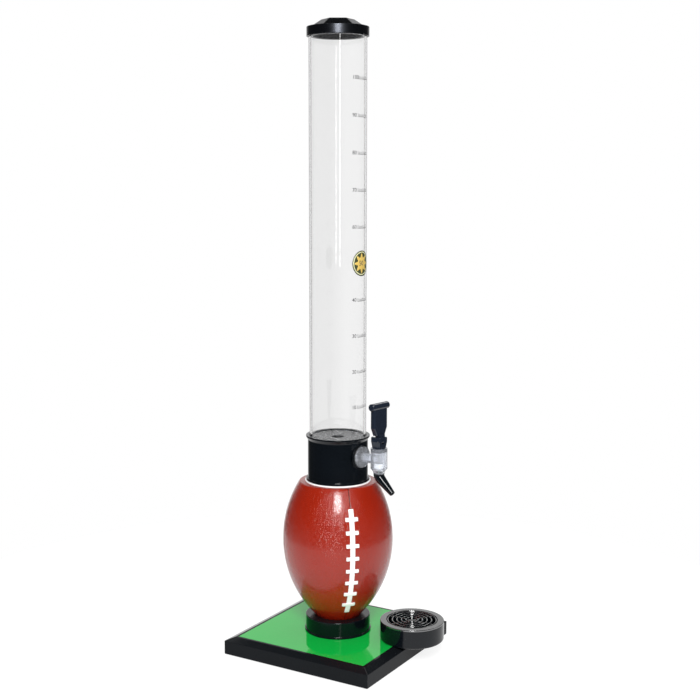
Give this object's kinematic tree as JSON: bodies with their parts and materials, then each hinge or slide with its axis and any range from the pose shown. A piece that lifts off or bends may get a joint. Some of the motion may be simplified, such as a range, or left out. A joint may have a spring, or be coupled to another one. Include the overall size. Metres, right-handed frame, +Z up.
{
  "type": "beer tower dispenser",
  "caption": "Tabletop drink tower: clear graduated tube with lift-off lid on a tap collar with a lever tap, carried by an upright ball on a square base with a drip tray.",
  "frame": {"origin": "on the tower axis, at the underside of the non-slip pad", "axes": "+Z up along the tube, -Y towards the base side with the drip tray, X along that side"},
  "size_m": [0.26, 0.303, 0.98],
  "materials": {
    "black_moulding": "gloss black moulded plastic",
    "black_board": "gloss black lacquer over board",
    "turf_green": "polished green acrylic sheet",
    "pad_black": "matt black foam rubber",
    "ball_brown": "pebbled red-brown skin, lacquered",
    "lace_white": "white moulded laces",
    "saddle_grey": "pale grey silicone",
    "seal_black": "black rubber",
    "clear_acrylic": "clear acrylic",
    "clear_tap": "clear moulded plastic",
    "plated_steel": "zinc plated",
    "stainless": "stainless",
    "silicone": "white food silicone",
    "grille_black": "gloss black moulded plastic"
  },
  "bodies": {
    "stand": {"non_slip_pad": "pad_black", "base_board": "black_board", "turf_panel": "turf_green", "ball_cup": "black_moulding", "cup_screws": "plated_steel", "ball_shell": "ball_brown", "laces": "lace_white", "saddle_gasket": "saddle_grey", "tie_rod": "plated_steel", "tie_nuts": "plated_steel", "tie_washers": "plated_steel", "tie_seal": "seal_black", "tap_collar": "black_moulding", "tube_plug": "black_moulding", "tube_o_ring": "seal_black", "tap_gasket": "seal_black", "tap_body": "clear_tap", "shank_washer": "seal_black", "shank_nut": "black_moulding", "spout": "black_moulding", "bonnet": "black_moulding", "lever_pin": "stainless", "return_spring": "stainless"},
    "tube": {"beverage_tube": "clear_acrylic"},
    "lid": {"lid_cap": "black_moulding", "lid_plug": "black_moulding", "lid_o_ring": "seal_black"},
    "lever": {"lever_handle": "black_moulding"},
    "valve": {"valve_stem": "stainless", "seat_cup": "silicone"},
    "drip_tray": {"drip_cup": "black_moulding"},
    "grille": {"drip_grille": "grille_black"}
  },
  "joints": [
    {"name": "lever_pull", "type": "hinge", "parent": "stand", "child": "lever", "pos_m": [-0.01457, -0.08709, 0.346], "axis": [0.9863, -0.165, 0], "range_deg": [0, 30], "stiffness_Nm_per_rad": 0.2, "springref_deg": -17.19},
    {"name": "valve_lift", "type": "slide", "parent": "stand", "child": "valve", "axis": [0, 0, 1], "range_m": [0, 0.0025], "deforming": ["return_spring"]},
    {"name": "tube_lift", "type": "slide", "parent": "stand", "child": "tube", "axis": [0, 0, 1], "range_m": [0, 0.05]},
    {"name": "lid_lift", "type": "slide", "parent": "tube", "child": "lid", "axis": [0, 0, 1], "range_m": [0, 0.06]},
    {"name": "tray_lift", "type": "slide", "parent": "stand", "child": "drip_tray", "axis": [0, 0, 1], "range_m": [0, 0.03]},
    {"name": "grille_lift", "type": "slide", "parent": "drip_tray", "child": "grille", "axis": [0, 0, 1], "range_m": [0, 0.02]}
  ],
  "couplings": [
    {"joint": "lever_pull", "follows": "valve_lift", "rad_per_m": 209.44}
  ]
}
